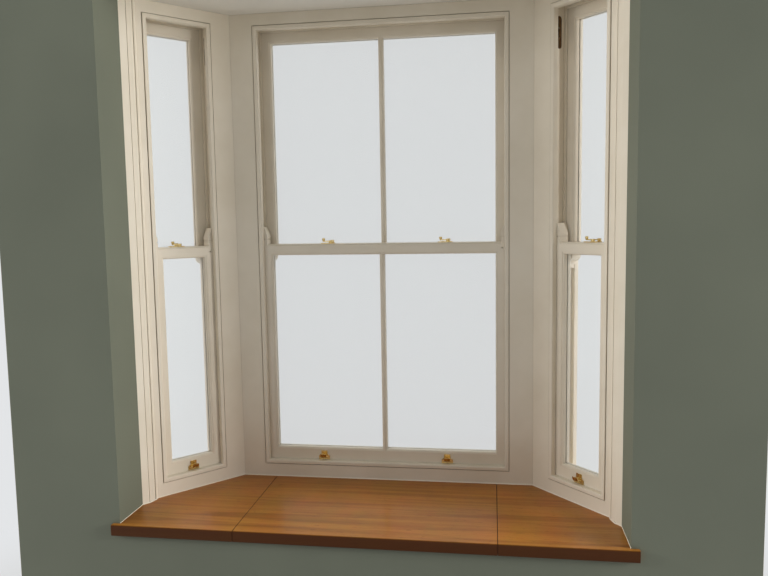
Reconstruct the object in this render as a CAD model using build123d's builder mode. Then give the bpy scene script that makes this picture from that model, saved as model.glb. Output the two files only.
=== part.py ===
# A canted bay with three box sash windows, seen from the room: brick dwarf wall, timber
# frames, sliding sashes, a stained window board, plastered piers and a lead-covered roof.
# Millimetres. X runs to the right along the room wall, Y runs outwards, Z is up from the ground.
import os
from math import atan2, cos, degrees, radians, sin, tan

from build123d import *

os.makedirs("parts", exist_ok=True)

# The opening in the house wall
opening_width = 1646.0
wall_thickness = 300.0
pier_width = 375.0
board_top = 840.0          # top of the window board above the ground outside
ceiling_height = 1766.0    # ceiling of the bay above the window board
wall_over = 380.0          # house wall kept above the ceiling of the bay

# The plan of the bay, measured to the room face of the window linings
bay_depth = 494.0          # from the room face of the wall to the centre window
centre_length = 1118.0     # between the two inner corners
reveal_depth = 195.0       # from the room face of the wall to the foot of the side linings

# The window frames
centre_lining = 88.0       # lining of the centre window at each side
corner_lining = 81.0       # lining of a side window beside the corner
reveal_lining = 64.0       # lining of a side window beside the reveal
head_lining = 45.0
opening_bottom = 51.0      # above the window board
lining_thickness = 18.0
staff_bead_width = 15.0
staff_bead_depth = 19.0    # from the room face of the lining to the lower sash
staff_bead_proud = 3.0     # stands out of the lining into the room
staff_bead_nose = 5.0
staff_bead_arris = 2.0
bead_quirk = 2.5           # open quirk between the lining and the staff bead
bead_quirk_depth = 4.0
parting_bead_width = 7.0
parting_bead_reach = 10.0  # stands out of the pulley stile
outer_lining_cover = 12.0  # the outer lining laps the upper sash
running_gap = 0.5          # between a sash and its beads
side_gap = 1.5             # between a sash and the pulley stile

# The sashes
sash_thickness = 43.5
stile_sight = 47.0         # from the pulley stile to the glass
meeting_rail_height = 42.0
meeting_rail_top = 909.0   # above the window board
splay_gap = 0.3            # between the splayed faces of the two meeting rails
rail_arris = 6.0           # worn slope on the front of the lower meeting rail
bottom_rail_sight = 63.0   # from the foot of the opening to the glass
bottom_rail_sink = 12.0    # the bottom rail runs down behind the staff bead
top_rail_sight = 50.0      # from the head of the opening to the glass
glazing_bar_width = 18.0
moulding_width = 7.0
moulding_quirk = 2.0
glass_thickness = 4.0
glass_depth = 18.0         # from the room face of the sash to the glass
glass_edge = 6.0           # let into the sash past the sight line
putty_depth = 12.0

# The horns: upstanding ones on the lower sash, ogee ones under the upper sash
horn_height = 67.0
horn_neck = 26.0
horn_tip = 13.5
horn_step = 18.0           # height of the quirk above the meeting rail
horn_quirk = 4.0
horn_quirk_depth = 2.5
horn_upright = 10.0        # plain part over the quirk, below the slope
horn_root = 1.0            # the horns are of one piece with the stiles
ogee_drop = 55.0
ogee_width = 38.0
ogee_neck = 15.0
ogee_tip = 28.0
stop_hole = 6.0            # hole for a sash stop in the right stile
stop_hole_depth = 14.0
stop_hole_inset = 21.5     # from the edge of the sash

# The sash pulleys
pulley_drop = 89.0         # middle of a pulley below the head of the opening
pulley_plate = 110.0
pulley_width = 22.0
pulley_plate_thickness = 3.0
pulley_radius = 18.0
pulley_reach = 4.0         # the wheel stands out of its plate
pulley_wheel = 8.0
pulley_cheek = 2.0
pulley_play = 1.0          # between the wheel and its cheeks
pulley_axle = 3.0
pulley_pocket = 6.0        # the pocket in the stile past the wheel

# The sash lifts
lift_height = 84.0         # middle of a sash lift above the window board
lift_spacing = 480.0       # between the two lifts of the centre window
lift_foot = 43.0
lift_head = 24.0
lift_foot_height = 14.0
lift_shoulder = 7.0        # height of the slope from the foot to the head
lift_plate_height = 35.0
lift_plate = 2.5
lift_hook_width = 24.0
lift_hook_radius = 9.0
lift_hook_thickness = 3.0
lift_lip = 9.0             # upstand of the finger pull

# The sash fasteners and their keeps
fastener_spacing = 450.0   # between the two fasteners of the centre window
fastener_shift = 12.0      # from the middle of the lights to the middle of a plate
fastener_length = 56.0
fastener_width = 18.0
fastener_plate = 3.0
fastener_setback = 12.0    # from the outer face of the lower sash to the middle of the plate
pivot_place = 10.0         # right of the middle of the plate
pivot_radius = 6.5
pivot_height = 9.0
arm_height = 4.0           # underside of the arm above the plate
arm_thickness = 4.0
arm_nose = 26.0            # reach of the arm's nose over the keep
knob_place = 17.0          # left of the middle of the plate
knob_radius = 6.0
knob_height = 14.0
keep_length = 40.0
keep_width = 13.0
keep_setback = 8.0         # from the room face of the upper sash
keep_lug = 5.0
keep_lug_height = 10.0

# The cills, the wall below and the window board
cill_slope = 8.0           # degrees
cill_reach = 75.0          # past the outer face of the frames
drip_groove = 5.0
drip_inset = 18.0
dwarf_wall_reach = 38.0    # past the outer face of the frames
dwarf_wall_thickness = 215.0
board_thickness = 38.0
board_nosing = 18.0        # in front of the room face of the wall
board_nose_radius = 5.0
board_ear = 25.0           # past the opening at each side
board_joint = 426.0        # from the centre to the joint between two boards
board_joint_gap = 0.6
apron_thickness = 113.0

# The architraves of the side windows: two ovolo members, a flat and a back band, with quirks
architrave_lap = 38.0      # over the lining, from the line of the reveal
architrave_fillet = 3.0    # upright edge under the first ovolo
first_ovolo_width = 10.0
first_ovolo_top = 11.0
second_ovolo_width = 12.0
second_ovolo_top = 18.0
architrave_flat = 11.0
architrave_depth = 24.0
architrave_quirk = 3.0
band_round = 3.0

# The top of the bay
ceiling_board = 12.5
fascia_height = 150.0
fascia_lap = 30.0          # the fascia laps down over the heads of the frames
fascia_thickness = 22.0
cornice_height = 42.0
cornice_reach = 30.0       # past the fascia
cornice_fillet = 7.0
eaves_reach = 70.0         # past the outer face of the frames
eaves_depth = 45.0
roof_pitch = 17.0          # degrees
lead_thickness = 4.0
lead_drip = 30.0
roll_radius = 16.0
roll_spacing = 440.0       # between the two rolls on the middle slope
flashing_height = 90.0
flashing_thickness = 3.0

# Places worked out from the sizes above
half_opening = opening_width / 2
half_centre = centre_length / 2
half_width = half_opening + pier_width
turn = atan2(bay_depth - reveal_depth, half_opening - half_centre)   # of a side window, in radians
side_length = (bay_depth - reveal_depth) / sin(turn)
centre_opening = centre_length - 2 * centre_lining
side_opening = side_length - corner_lining - reveal_lining
opening_top = ceiling_height - head_lining
lower_sash_face = staff_bead_depth
lower_sash_back = lower_sash_face + sash_thickness
parting_face = lower_sash_back + running_gap
upper_sash_face = parting_face + parting_bead_width + running_gap
outer_lining_face = upper_sash_face + sash_thickness
frame_depth = outer_lining_face + lining_thickness
meeting_rail_foot = meeting_rail_top - meeting_rail_height
ceiling_level = board_top + ceiling_height
board_underside = board_top - board_thickness
total_depth = board_nosing + bay_depth + frame_depth + max(cill_reach, eaves_reach + lead_thickness)
wall_face = board_nosing - total_depth / 2       # the origin is below the middle of the whole
outside_face = wall_face + wall_thickness
window_line = wall_face + bay_depth


def save(piece, name):
    piece.part.label = name
    export_step(piece.part, f"parts/{name}.step")


def corner(offset, sign):
    """Corner of the bay on a line set off outwards from the linings."""
    return (sign * (half_centre + offset * tan(turn / 2)), window_line + offset)


def side_x(offset, y):
    """Half width of the bay at depth y, on a line set off outwards from the linings."""
    corner_x, corner_y = corner(offset, 1)
    return corner_x + (corner_y - y) / tan(turn)


def bay_plan(offset, y):
    """Plan of the bay from depth y outwards, set off from the room face of the linings."""
    end = side_x(offset, y)
    return [(-end, y), corner(offset, -1), corner(offset, 1), (end, y)]


def mitre_plane(sign):
    """Upright plane through an inner corner of the bay, facing the side window."""
    across = (sign * cos(turn / 2), -sin(turn / 2), 0)
    return Plane(origin=(sign * half_centre, window_line, 0), z_dir=across)


def pier_outline(sign, end):
    """Plan of the house wall beside the opening, with its end cut square to the side window."""
    slant = (wall_thickness - reveal_depth) / cos(turn)
    return [
        (sign * half_opening, wall_face),
        (sign * half_opening, wall_face + reveal_depth),
        (sign * (half_opening + slant * sin(turn)), outside_face),
        (sign * end, outside_face),
        (sign * end, wall_face),
    ]


# House wall: a pier on each side of the opening
for side, sign in (("left", -1), ("right", 1)):
    with BuildPart() as pier:
        with BuildSketch():
            Polygon(*pier_outline(sign, half_width), align=None)
        extrude(amount=ceiling_level + ceiling_board)
    save(pier, f"pier_{side}")

# The space of the house wall, run on well past the piers, to which other pieces are scribed
wall_spaces = []
for sign in (-1, 1):
    with BuildPart() as wall_space:
        with BuildSketch():
            Polygon(*pier_outline(sign, 3 * half_width), align=None)
        extrude(amount=ceiling_level + ceiling_board)
    wall_spaces.append(wall_space.part)


def scribe_to_house_wall():
    for space in wall_spaces:
        add(space, mode=Mode.SUBTRACT)


# House wall over the opening, carried by the piers
with BuildPart() as wall_head:
    with BuildSketch(Plane.XY.offset(ceiling_level + ceiling_board)):
        with Locations((0, wall_face + wall_thickness / 2)):
            Rectangle(2 * half_width, wall_thickness)
    extrude(amount=wall_over)
save(wall_head, "wall_head")

# Plastered wall under the window board, flush with the room face of the piers
with BuildPart() as apron_wall:
    with BuildSketch():
        with Locations((0, wall_face + apron_thickness / 2)):
            Rectangle(opening_width, apron_thickness)
    extrude(amount=board_underside)
save(apron_wall, "apron_wall")

# Brick dwarf wall under the frames, canted in plan
with BuildPart() as dwarf_wall:
    with BuildSketch():
        outer_reach = frame_depth + dwarf_wall_reach
        inner_reach = outer_reach - dwarf_wall_thickness
        apron_back = wall_face + apron_thickness
        Polygon(*bay_plan(outer_reach, apron_back), align=None)
        Polygon(*bay_plan(inner_reach, apron_back), align=None, mode=Mode.SUBTRACT)
    extrude(amount=board_underside)
    scribe_to_house_wall()
save(dwarf_wall, "dwarf_wall")


# Window board in three lengths, lapped under the linings and nosed in front of the wall
def window_board(name, left_end, right_end):
    with BuildPart() as board:
        with BuildSketch(Plane.XY.offset(board_underside)):
            Polygon(*bay_plan(lining_thickness, wall_face), align=None)
            with Locations((0, wall_face - board_nosing / 2)):
                Rectangle(opening_width + 2 * board_ear, board_nosing)
            with Locations((left_end, wall_face - board_nosing)):
                length = right_end - left_end
                corner_align = (Align.MIN, Align.MIN)
                Rectangle(length, 2 * total_depth, align=corner_align, mode=Mode.INTERSECT)
        extrude(amount=board_thickness)
        scribe_to_house_wall()
        nose = board.edges().filter_by(Axis.X).group_by(Axis.Y)[0]
        fillet(nose, radius=board_nose_radius)
    save(board, name)


ear_end = half_opening + board_ear
joint_side = board_joint_gap / 2
window_board("window_board_left", -ear_end, -board_joint - joint_side)
window_board("window_board_centre", -board_joint + joint_side, board_joint - joint_side)
window_board("window_board_right", board_joint + joint_side, ear_end)


# Each window has a plane on the room face of its lining, at the middle of its opening and at
# the top of the window board. Its x runs to the right and its y runs up.
def side_plane(sign):
    shift = corner_lining + side_opening / 2
    return Plane(
        origin=(sign * (half_centre + shift * cos(turn)), window_line - shift * sin(turn), board_top),
        x_dir=(cos(turn), -sign * sin(turn), 0),
        z_dir=(-sign * sin(turn), -cos(turn), 0),
    )


centre_plane = Plane(origin=(0, window_line, board_top), x_dir=(1, 0, 0), z_dir=(0, -1, 0))

# For each window: its plane, its opening, the linings left and right of it, and its glazing bars
windows = {
    "centre": (centre_plane, centre_opening, centre_lining, centre_lining, 1),
    "left": (side_plane(-1), side_opening, reveal_lining, corner_lining, 0),
    "right": (side_plane(1), side_opening, corner_lining, reveal_lining, 0),
}


# Cill section: flat under the staff bead, then weathered to a nosing with a drip groove
def cill(plane, opening, left_lining, right_lining, mitres):
    nosing = frame_depth + cill_reach
    fall = (nosing - lower_sash_face) * tan(radians(cill_slope))
    start = opening / 2 + left_lining + nosing
    length = opening + left_lining + right_lining + 2 * nosing
    section = Plane(origin=plane.from_local_coords((-start, 0, 0)), x_dir=-plane.z_dir, z_dir=plane.x_dir)
    with BuildPart() as timber:
        with BuildSketch(section):
            with BuildLine():
                Polyline(
                    (lining_thickness, -board_thickness),
                    (lining_thickness, opening_bottom),
                    (lower_sash_face, opening_bottom),
                    (nosing, opening_bottom - fall),
                    (nosing, -board_thickness),
                    close=True,
                )
            make_face()
            with Locations((nosing - drip_inset, -board_thickness)):
                Circle(drip_groove, mode=Mode.SUBTRACT)
        extrude(amount=length)
        for sign in mitres:
            split(bisect_by=mitre_plane(sign), keep=Keep.TOP if len(mitres) == 1 else Keep.BOTTOM)
        scribe_to_house_wall()
    return timber


def opening_rectangle(opening, inset, mode=Mode.ADD):
    """Rectangle of a window opening, drawn in from its edges by the inset."""
    with Locations((0, (opening_bottom + opening_top) / 2)):
        Rectangle(opening - 2 * inset, opening_top - opening_bottom - 2 * inset, mode=mode)


def three_sided(opening, inset, mode=Mode.ADD):
    """As above, but open downwards past the cill."""
    Rectangle(opening - 2 * inset, opening_top - inset, align=(Align.CENTER, Align.MIN), mode=mode)


def pulley_planes(plane, opening):
    """A plane on each pulley stile at its sash pulley, facing into the opening."""
    depth = lower_sash_face + sash_thickness / 2
    return [
        Plane(
            origin=plane.from_local_coords((sign * opening / 2, opening_top - pulley_drop, -depth)),
            x_dir=(0, 0, 1),
            z_dir=plane.x_dir * -sign,
        )
        for sign in (-1, 1)
    ]


# Box frame: inner lining all round, solid boxes with the pulley stiles, head and outer lining
def box_frame(plane, opening, left_lining, right_lining, cill_part):
    length = opening + left_lining + right_lining
    shift = (right_lining - left_lining) / 2
    foot_middle = (Align.CENTER, Align.MIN)
    with BuildPart() as frame:
        with BuildSketch(plane):
            with Locations((shift, 0)):
                Rectangle(length, ceiling_height, align=foot_middle)
            opening_rectangle(opening, 0, Mode.SUBTRACT)
        extrude(amount=-lining_thickness)
        with BuildSketch(plane):
            opening_rectangle(opening, -bead_quirk)
        extrude(amount=-bead_quirk_depth, mode=Mode.SUBTRACT)
        with BuildSketch(plane.offset(-lining_thickness)):
            with Locations((shift, 0)):
                Rectangle(length, ceiling_height, align=foot_middle)
            three_sided(opening, 0, Mode.SUBTRACT)
        extrude(amount=lining_thickness - outer_lining_face)
        with BuildSketch(plane.offset(-outer_lining_face)):
            with Locations((shift, 0)):
                Rectangle(length, ceiling_height, align=foot_middle)
            three_sided(opening, outer_lining_cover, Mode.SUBTRACT)
        extrude(amount=-lining_thickness)
        add(cill_part, mode=Mode.SUBTRACT)
        for jamb in pulley_planes(plane, opening):
            with BuildSketch(jamb):
                SlotOverall(pulley_plate, pulley_width)
            extrude(amount=-pulley_plate_thickness, mode=Mode.SUBTRACT)
            with BuildSketch(jamb):
                Rectangle(2 * (pulley_radius + pulley_pocket), pulley_width - 2 * pulley_cheek)
            extrude(amount=-2 * pulley_radius, mode=Mode.SUBTRACT)
    return frame


# Staff bead: a mitred, round-nosed bead that holds the lower sash in
def staff_bead(plane, opening):
    toward_room = Axis(plane.origin, plane.z_dir)
    with BuildPart() as bead:
        with BuildSketch(plane.offset(staff_bead_proud)):
            opening_rectangle(opening, 0)
            opening_rectangle(opening, staff_bead_width, Mode.SUBTRACT)
        extrude(amount=running_gap - staff_bead_depth - staff_bead_proud)
        room_face = bead.faces().sort_by(toward_room)[-1]
        fillet(room_face.inner_wires()[0].edges(), radius=staff_bead_nose)
        room_face = bead.faces().sort_by(toward_room)[-1]
        fillet(room_face.outer_wire().edges(), radius=staff_bead_arris)
    return bead


# Parting bead: a thin strip on both sides and the head, between the two sashes
def parting_bead(plane, opening, cill_part):
    with BuildPart() as bead:
        with BuildSketch(plane.offset(-parting_face)):
            three_sided(opening, 0)
            three_sided(opening, parting_bead_reach, Mode.SUBTRACT)
        extrude(amount=-parting_bead_width)
        add(cill_part, mode=Mode.SUBTRACT)
    return bead


def light_places(opening, bars):
    """Middle and width of each light between the stiles and the glazing bars."""
    clear = opening - 2 * stile_sight
    width = (clear - bars * glazing_bar_width) / (bars + 1)
    return [(-clear / 2 + width / 2 + i * (width + glazing_bar_width), width) for i in range(bars + 1)]


# Glass: one pane for each light of both sashes
def glass(plane, opening, bars, lower_sight, upper_sight):
    with BuildPart() as panes:
        for face, (foot, head) in ((lower_sash_face, lower_sight), (upper_sash_face, upper_sight)):
            with BuildSketch(plane.offset(-face - glass_depth)):
                for middle, width in light_places(opening, bars):
                    with Locations((middle, (foot + head) / 2)):
                        Rectangle(width + 2 * glass_edge, head - foot + 2 * glass_edge)
            extrude(amount=-glass_thickness)
    return panes


def upstanding_horns(width, rail_top):
    """Horns of the lower sash: a square foot, a quirk and a tapered top."""
    quirk_foot = rail_top + horn_step
    quirk_top = quirk_foot + horn_quirk
    for sign in (-1, 1):
        edge = sign * width / 2
        side = edge - sign * horn_neck
        in_quirk = side + sign * horn_quirk_depth
        Polygon(
            (edge, rail_top - horn_root),
            (edge, rail_top + horn_height),
            (edge - sign * horn_tip, rail_top + horn_height),
            (side, quirk_top + horn_upright),
            (side, quirk_top),
            (in_quirk, quirk_top),
            (in_quirk, quirk_foot),
            (side, quirk_foot),
            (side, rail_top - horn_root),
            align=None,
        )


def ogee_horns(width, rail_foot):
    """Horns of the upper sash: an S curve from the meeting rail down to a narrow tip."""
    for sign in (-1, 1):
        edge = sign * width / 2
        top = rail_foot + horn_root
        shoulder = (edge - sign * ogee_width, rail_foot - ogee_drop / 8)
        middle = (edge - sign * (ogee_width - ogee_neck), rail_foot - ogee_drop / 2)
        tip = (edge - sign * (ogee_width - ogee_tip), rail_foot - ogee_drop)
        with BuildLine() as outline:
            upper_curve = TangentArc(shoulder, middle, tangent=(0, -1))
            TangentArc(middle, tip, tangent=upper_curve % 1)
            Polyline(tip, (edge, rail_foot - ogee_drop), (edge, top), (shoulder[0], top), shoulder)
        make_face(outline.edges())


# Splay of a meeting rail: it fills the space between the sashes as far as its partner's splay
def meeting_splay(plane, opening, upper):
    clear = opening / 2 - parting_bead_reach - side_gap
    foot = meeting_rail_foot
    top = meeting_rail_top
    near = lower_sash_back
    far = upper_sash_face
    section = Plane(origin=plane.from_local_coords((-clear, 0, 0)), x_dir=-plane.z_dir, z_dir=plane.x_dir)
    if upper:
        outline = [(far + 1, foot), (near + splay_gap, foot), (far, top), (far + 1, top)]
    else:
        outline = [(near - 1, foot), (near, foot), (far - splay_gap, top), (near - 1, top)]
    with BuildPart() as splay:
        with BuildSketch(section):
            Polygon(*outline, align=None)
        extrude(amount=2 * clear)
    return splay.part


# Sash: stiles, rails and bars with a moulded edge in the room and a puttied edge outside
def sash(plane, opening, bars, face, foot, head, sight, panes_part, cill_part, upper):
    width = opening - 2 * side_gap
    sight_foot, sight_head = sight
    toward_room = Axis(plane.origin, plane.z_dir)
    splay = meeting_splay(plane, opening, upper)
    # The square-edged meeting rail of a sash has no moulding on its glass side
    moulded_foot = sight_foot if upper else sight_foot - moulding_width
    moulded_head = sight_head + moulding_width
    with BuildPart() as frame:
        for start, thickness in ((moulding_quirk, sash_thickness - moulding_quirk), (0, moulding_quirk)):
            with BuildSketch(plane.offset(-face - start)):
                with Locations((0, (foot + head) / 2)):
                    Rectangle(width, head - foot)
                if upper:
                    ogee_horns(width, foot)
                else:
                    upstanding_horns(width, head)
                for middle, light in light_places(opening, bars):
                    if start:
                        with Locations((middle, (sight_foot + sight_head) / 2)):
                            Rectangle(light, sight_head - sight_foot, mode=Mode.SUBTRACT)
                    else:
                        with Locations((middle, (moulded_foot + moulded_head) / 2)):
                            moulded_width = light + 2 * moulding_width
                            Rectangle(moulded_width, moulded_head - moulded_foot, mode=Mode.SUBTRACT)
            extrude(amount=-thickness)
            if start:
                outside = frame.faces().sort_by(toward_room)[0]
                putty_edges = [edge for wire in outside.inner_wires() for edge in wire.edges()]
                chamfer(putty_edges, length=moulding_width, length2=putty_depth, reference=outside)
                room_side = frame.faces().sort_by(toward_room)[-1]
                moulded = ShapeList([edge for wire in room_side.inner_wires() for edge in wire.edges()])
                if upper:
                    moulded = moulded.filter_by(lambda edge: edge.center().Z > board_top + sight_foot + 1)
                fillet(moulded, radius=moulding_width - 1)
        add(panes_part, mode=Mode.SUBTRACT)
        add(cill_part, mode=Mode.SUBTRACT)
        add(splay)
        if not upper:
            with BuildSketch(plane.offset(-face)):
                with Locations((0, head + horn_step + horn_quirk / 2)):
                    Rectangle(width, horn_quirk)
            extrude(amount=-horn_quirk_depth, mode=Mode.SUBTRACT)
            between = width / 2 - horn_neck
            start = plane.from_local_coords((-between, head, -face))
            with BuildSketch(Plane(origin=start, x_dir=-plane.z_dir, z_dir=plane.x_dir)):
                Polygon((-1, -rail_arris - 1), (rail_arris + 1, 1), (-1, 1), align=None)
            extrude(amount=2 * between, mode=Mode.SUBTRACT)
            with BuildSketch(plane.offset(-face)):
                with Locations((width / 2 - stop_hole_inset, head - meeting_rail_height / 2)):
                    Circle(stop_hole / 2)
            extrude(amount=-stop_hole_depth, mode=Mode.SUBTRACT)
    return frame


cills = {}
lower_sight = (opening_bottom + bottom_rail_sight, meeting_rail_foot)
upper_sight = (meeting_rail_top, opening_top - top_rail_sight)
lower_foot = opening_bottom - bottom_rail_sink
for side, (plane, opening, left_lining, right_lining, bars) in windows.items():
    mitres = {"centre": (-1, 1), "left": (-1,), "right": (1,)}[side]
    timber = cill(plane, opening, left_lining, right_lining, mitres)
    save(timber, f"cill_{side}")
    cills[side] = timber.part
    save(box_frame(plane, opening, left_lining, right_lining, timber.part), f"box_frame_{side}")
    save(staff_bead(plane, opening), f"staff_bead_{side}")
    save(parting_bead(plane, opening, timber.part), f"parting_bead_{side}")
    panes = glass(plane, opening, bars, lower_sight, upper_sight)
    save(panes, f"glass_{side}")
    fitted = (panes.part, timber.part)
    lower = sash(
        plane, opening, bars, lower_sash_face, lower_foot, meeting_rail_top, lower_sight, *fitted, False
    )
    save(lower, f"lower_sash_{side}")
    upper = sash(
        plane, opening, bars, upper_sash_face, meeting_rail_foot, opening_top, upper_sight, *fitted, True
    )
    save(upper, f"upper_sash_{side}")

# Corner posts: kite-shaped posts that close the frames at the two cants
for side, sign in (("left", -1), ("right", 1)):
    inner_corner = Vector(*corner(0, sign))
    with BuildPart() as corner_post:
        with BuildSketch(Plane.XY.offset(board_top)):
            Polygon(
                inner_corner,
                inner_corner + Vector(0, frame_depth),
                Vector(*corner(frame_depth, sign)),
                inner_corner + Vector(sign * sin(turn), cos(turn)) * frame_depth,
                align=None,
            )
        extrude(amount=ceiling_height)
        add(cills["centre"], mode=Mode.SUBTRACT)
        add(cills[side], mode=Mode.SUBTRACT)
    save(corner_post, f"corner_post_{side}")

# Architraves: stepped mouldings on the side linings, scribed to the plaster of the reveals
for side, sign in (("left", -1), ("right", 1)):
    foot = Plane(
        origin=(sign * half_opening, wall_face + reveal_depth, board_top),
        x_dir=(-sign * cos(turn), sin(turn), 0),
        z_dir=(0, 0, sign),
    )
    first = architrave_lap - first_ovolo_width
    second = first - architrave_quirk
    third = second - second_ovolo_width
    band = third - architrave_flat - architrave_quirk
    low = first_ovolo_top - architrave_quirk
    high = second_ovolo_top - architrave_quirk
    shoulder = (band - band_round, architrave_depth)
    with BuildPart() as architrave:
        with BuildSketch(foot):
            with BuildLine():
                behind = -2 * architrave_depth
                lap_edge = (architrave_lap, architrave_fillet)
                Polyline((behind, architrave_depth), (behind, 0), (architrave_lap, 0), lap_edge)
                TangentArc(lap_edge, (first, first_ovolo_top), tangent=(0, 1))
                start = (second, low + architrave_quirk / 2)
                Polyline((first, first_ovolo_top), (first, low), (second, low), start)
                TangentArc(start, (third, second_ovolo_top), tangent=(0, 1))
                nose = (band, architrave_depth - band_round)
                Polyline(
                    (third, second_ovolo_top),
                    (band + architrave_quirk, second_ovolo_top),
                    (band + architrave_quirk, high),
                    (band, high),
                    nose,
                )
                TangentArc(nose, shoulder, tangent=(0, 1))
                Line(shoulder, (behind, architrave_depth))
            make_face()
        extrude(amount=sign * ceiling_height)
        scribe_to_house_wall()
    save(architrave, f"architrave_{side}")

# Ceiling of the bay, on top of the frames
with BuildPart() as bay_ceiling:
    with BuildSketch(Plane.XY.offset(ceiling_level)):
        Polygon(*bay_plan(frame_depth, wall_face), align=None)
    extrude(amount=ceiling_board)
    scribe_to_house_wall()
save(bay_ceiling, "bay_ceiling")

# Fascia round the heads of the frames
fascia_foot = ceiling_level - fascia_lap
eaves_level = fascia_foot + fascia_height
fascia_reach = frame_depth + fascia_thickness
with BuildPart() as fascia:
    with BuildSketch(Plane.XY.offset(fascia_foot)):
        Polygon(*bay_plan(fascia_reach, outside_face), align=None)
        Polygon(*bay_plan(frame_depth, outside_face), align=None, mode=Mode.SUBTRACT)
    extrude(amount=fascia_height)
save(fascia, "fascia")

# Cornice: a cyma moulding mitred round the bay under the eaves, cut to the house wall
run_in = outside_face - 2 * cornice_reach
end_x = side_x(fascia_reach, run_in)
with BuildPart() as cornice:
    with BuildLine() as fascia_line:
        Polyline(*[(x, y, eaves_level) for x, y in bay_plan(fascia_reach, run_in)])
    along = (cos(turn), sin(turn), 0)
    across = Plane(origin=(-end_x, run_in, eaves_level), x_dir=(-sin(turn), cos(turn), 0), z_dir=along)
    with BuildSketch(across):
        with BuildLine():
            lower = (cornice_fillet, -cornice_height + cornice_fillet)
            upper = (cornice_reach - cornice_fillet, -cornice_fillet)
            halfway = ((lower[0] + upper[0]) / 2, (lower[1] + upper[1]) / 2)
            Polyline((0, 0), (0, -cornice_height), (cornice_fillet, -cornice_height), lower)
            hollow = TangentArc(lower, halfway, tangent=(0, 1))
            TangentArc(halfway, upper, tangent=hollow % 1)
            Polyline(upper, (cornice_reach, -cornice_fillet), (cornice_reach, 0), (0, 0))
        make_face()
    sweep(path=fascia_line.wires()[0], transition=Transition.RIGHT)
    split(bisect_by=Plane(origin=(0, outside_face, 0), z_dir=(0, 1, 0)), keep=Keep.TOP)
save(cornice, "cornice")

# Roof timbers: a block over the ceiling and a hipped slope with eaves past the fascia
roof_reach = frame_depth + eaves_reach
eaves_top = eaves_level + eaves_depth
pitch = radians(roof_pitch)


def roof_slope(sign, lift):
    """Plane of one slope of the roof, through its eaves: -1 left, 0 centre, 1 right."""
    down = Vector(sign * sin(turn), cos(turn)) if sign else Vector(0, 1)
    eaves = Vector(sign * half_centre, window_line) + down * roof_reach
    normal = down * sin(pitch) + Vector(0, 0, cos(pitch))
    return Plane(origin=eaves + Vector(0, 0, eaves_top) + normal * lift, z_dir=normal)


with BuildPart() as roof_timbers:
    with BuildSketch(Plane.XY.offset(ceiling_level + ceiling_board)):
        Polygon(*bay_plan(frame_depth, outside_face), align=None)
    extrude(amount=eaves_level - ceiling_level - ceiling_board)
    with BuildSketch(Plane.XY.offset(eaves_level)):
        Polygon(*bay_plan(roof_reach, outside_face), align=None)
    extrude(amount=total_depth)
    for sign in (-1, 0, 1):
        split(bisect_by=roof_slope(sign, 0), keep=Keep.BOTTOM)
save(roof_timbers, "roof_timbers")

# Lead flashing where the roof meets the house wall
rise = (bay_depth + roof_reach - wall_thickness) * tan(pitch)
lead_rise = lead_thickness / cos(pitch)
hip_x = half_centre - (bay_depth - wall_thickness) * tan(turn / 2)
lead_top = eaves_top + lead_rise
eaves_x = side_x(roof_reach, outside_face)
against_wall = Plane(origin=(0, outside_face, lead_top), x_dir=(-1, 0, 0), z_dir=(0, 1, 0))
with BuildPart() as flashing:
    with BuildSketch(against_wall):
        for lift, mode in ((flashing_height, Mode.ADD), (0, Mode.SUBTRACT)):
            Polygon(
                (-eaves_x, lift),
                (-hip_x, rise + lift),
                (hip_x, rise + lift),
                (eaves_x, lift),
                (eaves_x, lift - flashing_height - rise),
                (-eaves_x, lift - flashing_height - rise),
                align=None,
                mode=mode,
            )
    extrude(amount=flashing_thickness)
save(flashing, "flashing")

# Lead on the roof, dressed down over the eaves, with rolls on the hips and the middle slope
eaves_y = window_line + roof_reach
rolls = [(-roll_spacing / 2, -roll_spacing / 2), (roll_spacing / 2, roll_spacing / 2)]
rolls += [(sign * hip_x, corner(roof_reach, sign)[0]) for sign in (-1, 1)]
with BuildPart() as lead_roof:
    with BuildSketch(Plane.XY.offset(eaves_top - lead_drip)):
        Polygon(*bay_plan(roof_reach + lead_thickness, outside_face), align=None)
    extrude(amount=total_depth)
    for sign in (-1, 0, 1):
        split(bisect_by=roof_slope(sign, lead_thickness), keep=Keep.BOTTOM)
    for top_x, foot_x in rolls:
        high = Vector(top_x, outside_face, lead_top + rise)
        low = Vector(foot_x, eaves_y, lead_top)
        up_slope = (high - low).normalized()
        with BuildSketch(Plane(origin=low + up_slope * roll_radius, z_dir=up_slope)):
            Circle(roll_radius)
        extrude(amount=(high - low).length)
    split(bisect_by=Plane(origin=(0, outside_face, 0), z_dir=(0, 1, 0)), keep=Keep.TOP)
    add(roof_timbers.part, mode=Mode.SUBTRACT)
    add(flashing.part, mode=Mode.SUBTRACT)
save(lead_roof, "lead_roof")

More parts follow.
